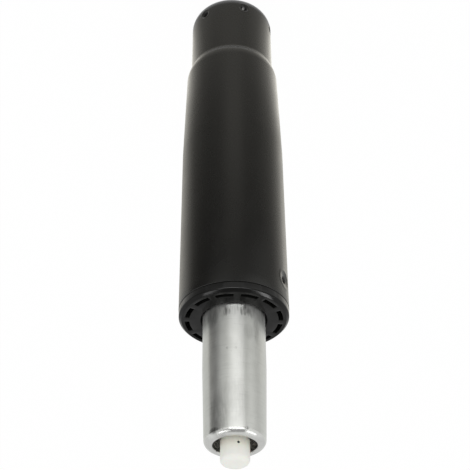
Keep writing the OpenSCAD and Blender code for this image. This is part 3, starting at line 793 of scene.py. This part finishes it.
MATERIALS = {
    "black_paint": black_paint(),
    "black_plastic": black_plastic(),
    "ground_steel": ground_steel(),
    "white_nylon": white_nylon(),
    "dark_steel": turned_metal("dark_steel", rgb(0.16, 0.16, 0.165), rgb(0.25, 0.25, 0.26), 0.38, 0.52),
    "bearing_steel": turned_metal("bearing_steel", rgb(0.58, 0.58, 0.59), rgb(0.66, 0.66, 0.67), 0.14, 0.22),
    "brass": turned_metal("brass", rgb(0.66, 0.47, 0.2), rgb(0.76, 0.56, 0.27), 0.26, 0.38),
    "rod_chrome": turned_metal("rod_chrome", rgb(0.7, 0.7, 0.71), rgb(0.78, 0.78, 0.79), 0.1, 0.18),
    "zinc_steel": turned_metal("zinc_steel", rgb(0.52, 0.53, 0.54), rgb(0.62, 0.63, 0.64), 0.3, 0.42),
    "alloy": turned_metal("alloy", rgb(0.6, 0.61, 0.62), rgb(0.7, 0.71, 0.72), 0.28, 0.4),
    "rubber": soft_polymer("rubber", rgb(0.022, 0.022, 0.022), rgb(0.035, 0.035, 0.035), 0.6, 0.75),
    "cream_polymer": soft_polymer("cream_polymer", rgb(0.64, 0.6, 0.48), rgb(0.73, 0.69, 0.57), 0.4, 0.52),
}
# The valve's cap lies under a film of oil in the tube's mouth; its dark mottled tone is mostly painted shade
# of the recess
OILED_AND_SHADED = {"valve_cap": turned_metal("oiled_alloy_painted_shade", rgb(0.1, 0.1, 0.095), rgb(0.85, 0.84, 0.8), 0.4, 0.6, 1300)}


def finish_carried_nodes():
    """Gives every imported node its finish."""
    for row in frame["record"]["subparts"]:
        made = frame["nodes"][row["node"]]
        made.data.materials.clear()
        made.data.materials.append(OILED_AND_SHADED.get(row["node"], MATERIALS[row["material_slot"]]))


# Stage

FLOOR_HALF = 4.0
FLOOR_Z = -0.0002
FLOOR_PAPER = 0.93
FLOOR_WHITE = 0.98
# Brightness of the studio over the floor, as shiny surfaces mirror it: round about, behind and where the
# camera stands, with the spreads of those last two as cosines, and the light that it throws on everything
STUDIO_LIGHT = 0.95
STUDIO_BACK = 0.8
STUDIO_BACK_SPREAD = (0.2, 0.75)
STUDIO_DARK = 0.36
STUDIO_DARK_SPREAD = (0.7, 0.88)
STUDIO_AMBIENT = 0.82
CAMERA_SIDE = (0, -math.cos(CAMERA_TILT), math.sin(CAMERA_TILT))
# The card round the object's foot, which only shiny surfaces mirror. Each ring of it has the radii over which
# it takes over from the ring inside it, a tint, and its brightness by direction in degrees from the near
# side, right above 0
CARD_R = (0.026, 2.4)
CARD_STEPS = 72
CARD_GLOW = 3.0
WARM_TINT = (1.0, 0.97, 0.885)
COOL_TINT = (0.99, 1.0, 0.965)
FOOT_RING = {
    "from": (0.0, 0.001), "tint": WARM_TINT,
    "tones": (
        (-180, 0.8), (-152, 1.5), (-130, 1.75), (-108, 1.35), (-92, 0.88), (-70, 0.5), (-40, 0.5),
        (-10, 0.63), (12, 0.63), (30, 0.54), (60, 0.62), (90, 1.15), (110, 1.85), (138, 2.4),
        (154, 1.9), (180, 0.8),
    ),
}
MIDDLE_RING = {
    "from": (0.045, 0.12), "tint": WARM_TINT,
    "tones": (
        (-180, 0.45), (-150, 0.85), (-122, 0.9), (-106, 0.57), (-93, 0.34), (-75, 0.28), (-50, 0.24),
        (-25, 0.34), (-5, 0.64), (12, 0.64), (28, 0.37), (50, 0.31), (85, 0.42), (105, 0.68),
        (125, 1.1), (150, 1.2), (180, 0.45),
    ),
}
CLOSE_RING = {
    "from": (0.13, 0.27), "tint": WARM_TINT,
    "tones": (
        (-180, 0.4), (-150, 0.85), (-122, 0.92), (-106, 0.58), (-93, 0.26), (-75, 0.13), (-50, 0.08),
        (-25, 0.11), (-5, 0.25), (12, 0.25), (28, 0.14), (50, 0.14), (85, 0.29), (105, 0.6),
        (125, 1.1), (150, 1.25), (180, 0.4),
    ),
}
FAR_RING = {
    "from": (0.305, 0.33), "tint": COOL_TINT,
    "tones": (
        (-180, 0.55), (-158, 0.85), (-116, 0.72), (-102, 0.7), (-96, 0.14), (-77, 0.05), (-60, 0.07),
        (-52, 0.17), (-40, 0.42), (-30, 0.54), (-22, 0.58), (-8, 0.46), (8, 0.28), (22, 0.54),
        (36, 0.78), (46, 0.92), (58, 0.9), (70, 0.76), (80, 0.54), (90, 0.53), (112, 0.76),
        (155, 0.92), (180, 0.55),
    ),
}
OUTER_RING = {
    "from": (0.8, 1.0), "tint": COOL_TINT,
    "tones": (
        (-180, 0.9), (-106, 0.8), (-95, 0.1), (-78, 0.1), (-66, 0.1), (-54, 1.0), (-38, 2.3),
        (-20, 2.6), (8, 1.5), (28, 1.3), (36, 0.9), (46, 0.9), (56, 1.15), (80, 1.15),
        (95, 0.7), (120, 0.9), (180, 0.9),
    ),
}
# Small lamps round the flange's wall: direction in degrees and brightness
WALL_LIGHTS = ((-110, 0.4), (-74, 0.45), (-37, 0.65), (0, 1.3), (37, 1.1), (74, 0.75), (110, 0.4))


def make_floor():
    h = FLOOR_HALF
    corners = [(-h, -h, FLOOR_Z), (h, -h, FLOOR_Z), (h, h, FLOOR_Z), (-h, h, FLOOR_Z)]
    made = finish_mesh("floor", corners, [(0, 1, 2, 3)])
    made.data.materials.append(floor_paper())


def floor_paper():
    """White paper that stays white behind the object and keeps part of its shadow."""
    made = bpy.data.materials.new("floor_paper")
    made.use_nodes = True
    tree = made.node_tree
    tree.nodes.clear()
    path = add(tree, "LightPath").outputs
    seen = calc(tree, "MAXIMUM", path["Is Camera Ray"], path["Is Glossy Ray"])
    seen = calc(tree, "MAXIMUM", seen, path["Is Transmission Ray"])
    paper = add(tree, "BsdfDiffuse")
    paper.inputs["Color"].default_value = rgb(FLOOR_PAPER, FLOOR_PAPER, FLOOR_PAPER)
    glow = add(tree, "Emission")
    glow.inputs["Strength"].default_value = 1.0
    mixed = add(tree, "MixShader")
    feed(tree, mixed.inputs[0], calc(tree, "MULTIPLY", seen, FLOOR_WHITE))
    tree.links.new(paper.outputs[0], mixed.inputs[1])
    tree.links.new(glow.outputs[0], mixed.inputs[2])
    tree.links.new(mixed.outputs[0], add(tree, "OutputMaterial").inputs["Surface"])
    return made


def make_card():
    """A toned card round the object's foot for the paint and the metal to mirror, out of the picture."""
    verts = [(-r * math.sin(a), -r * math.cos(a), 0) for r in CARD_R for a in even_turns(CARD_STEPS)]
    faces = []
    for i in range(CARD_STEPS):
        j = (i + 1) % CARD_STEPS
        faces.append((i, j, CARD_STEPS + j, CARD_STEPS + i))
    made = finish_mesh("toned_card", verts, faces)
    made.data.materials.append(card_paper())
    made.visible_camera = False
    made.visible_diffuse = False
    made.visible_shadow = False
    made.visible_transmission = False


def ring_tone(tree, ring):
    """A ring's colour, which follows the direction round the axis."""
    ramp = add(tree, "ValToRGB")
    made = ramp.color_ramp.elements
    for i, (turn, tone) in enumerate(ring["tones"]):
        at = turn / 360 + 0.5
        stop = made[i] if i < 2 else made.new(at)
        stop.position = at
        stop.color = rgb(*(tone / CARD_GLOW * share for share in ring["tint"]))
    feed(tree, ramp.inputs["Fac"], calc(tree, "MULTIPLY_ADD", turn_of(tree), 0.5 / math.pi, 0.5))
    return ramp.outputs["Color"]


def card_paper():
    """Toned paper, ring by ring from the object's foot outwards."""
    made = bpy.data.materials.new("card_paper")
    made.use_nodes = True
    tree = made.node_tree
    tree.nodes.clear()
    away = radius_of(tree)
    tone = ring_tone(tree, FOOT_RING)
    for ring in (MIDDLE_RING, CLOSE_RING, FAR_RING, OUTER_RING):
        tone = mix_colour(tree, remap(tree, away, *ring["from"]), tone, ring_tone(tree, ring))
    glow = add(tree, "Emission")
    glow.inputs["Strength"].default_value = CARD_GLOW
    tree.links.new(tone, glow.inputs["Color"])
    tree.links.new(glow.outputs[0], add(tree, "OutputMaterial").inputs["Surface"])
    return made


def make_world():
    """A white studio, dimmer behind and dark where the camera stands."""
    world = bpy.data.worlds.new("studio")
    bpy.context.scene.world = world
    world.use_nodes = True
    tree = world.node_tree
    away = add(tree, "TexCoord").outputs["Generated"]
    split = add(tree, "SeparateXYZ")
    tree.links.new(away, split.inputs["Vector"])
    facing = add(tree, "VectorMath", operation="DOT_PRODUCT")
    tree.links.new(away, facing.inputs[0])
    facing.inputs[1].default_value = CAMERA_SIDE
    light = remap(tree, split.outputs["Y"], *STUDIO_BACK_SPREAD, STUDIO_LIGHT, STUDIO_BACK)
    dark = remap(tree, facing.outputs["Value"], *STUDIO_DARK_SPREAD)
    mirrored = blend(tree, dark, light, STUDIO_DARK)
    path = add(tree, "LightPath").outputs
    shiny = calc(tree, "MAXIMUM", path["Is Glossy Ray"], path["Is Transmission Ray"])
    tone = blend(tree, path["Is Camera Ray"], blend(tree, shiny, STUDIO_AMBIENT, mirrored), 1.0)
    tree.links.new(tone, tree.nodes["Background"].inputs["Strength"])
    tree.nodes["Background"].inputs["Color"].default_value = rgb(1, 1, 1)


def make_lamp(name, turn, rise, distance, size, glow, shape="ELLIPSE", fill=False, only=()):
    """A soft lamp aimed at the middle of the object, placed by its direction and rise in degrees.

    It is mirrored and throws no light on dull surfaces, but a fill throws light and isn't mirrored. only
    gives the pieces that it works on, where it doesn't work on all.
    """
    width, height = size
    data = bpy.data.lights.new(name, "AREA")
    data.shape = shape
    data.size = width
    data.size_y = height
    data.energy = glow * math.pi * width * height
    lamp = bpy.data.objects.new(name, data)
    bpy.context.scene.collection.objects.link(lamp)
    lamp.visible_camera = False
    lamp.visible_diffuse = fill
    lamp.visible_glossy = not fill
    a, b = math.radians(turn), math.radians(rise)
    away = Vector((-math.sin(a) * math.cos(b), -math.cos(a) * math.cos(b), math.sin(b)))
    lamp.location = Vector((0, 0, AIM_Z)) + away * distance
    lamp.rotation_euler = away.to_track_quat("Z", "Y").to_euler()
    if only:
        lit = bpy.data.collections.new(name)
        for made in only:
            lit.objects.link(made)
        lamp.light_linking.receiver_collection = lit


def make_camera():
    """The camera of the photograph, worked out from directions as it sees them: right, down and ahead."""
    up = Vector((
        math.sin(CAMERA_LEAN),
        math.cos(CAMERA_LEAN) * math.cos(CAMERA_TILT),
        -math.cos(CAMERA_LEAN) * math.sin(CAMERA_TILT),
    ))
    towards = Vector((0, 0, -1))
    back = -(towards - up * towards.dot(up)).normalized()
    to_world = Matrix((back.cross(up), back, up))
    data = bpy.data.cameras.new("camera")
    data.sensor_width = SENSOR_W
    data.lens = FOCAL_PIXELS * SENSOR_W / PICTURE_PIXELS
    camera = bpy.data.objects.new("camera", data)
    bpy.context.scene.collection.objects.link(camera)
    turn = (to_world @ Matrix.Diagonal((1, -1, -1))).to_4x4()
    place = Vector((0, 0, AIM_Z)) - to_world @ Vector((CAMERA_SHIFT, 0, CAMERA_DISTANCE))
    camera.matrix_world = Matrix.Translation(place) @ turn
    bpy.context.scene.camera = camera


make_camera()
finish_carried_nodes()
make_column()
bush = make_bush()
tube = make_tube()
make_button()
make_floor()
make_card()
make_world()
make_lamp("left_edge_light", turn=-47, rise=47, distance=0.9, size=(0.6, 0.12), glow=4.2, only=(bush,))
make_lamp("right_edge_light", turn=65, rise=43.5, distance=0.9, size=(0.74, 0.12), glow=9.6, only=(bush,))
make_lamp("edge_strip", turn=-1, rise=6, distance=0.95, size=(1.2, 0.24), glow=7.5, only=(bush,))
for wall_turn, wall_glow in WALL_LIGHTS:
    make_lamp(
        "wall_light", turn=wall_turn, rise=-16, distance=0.167, size=(0.11, 0.05), glow=wall_glow,
        shape="RECTANGLE", only=(bush,),
    )
make_lamp("left_softbox", turn=-47, rise=46, distance=0.9, size=(0.72, 0.12), glow=3.6, only=(tube,))
make_lamp("right_softbox", turn=70, rise=43, distance=0.9, size=(0.66, 0.13), glow=3.6, only=(tube,))
make_lamp("front_strip", turn=7, rise=6, distance=0.95, size=(1.1, 0.24), glow=3.4, only=(bush, tube))
make_lamp("front_spot", turn=7, rise=6, distance=0.95, size=(0.55, 0.24), glow=6.1, only=(bush, tube))
make_lamp("top_fill", turn=0, rise=52, distance=1.2, size=(1.2, 1.2), glow=0.85, shape="RECTANGLE", fill=True)
bpy.context.scene.view_settings.view_transform = "Standard"
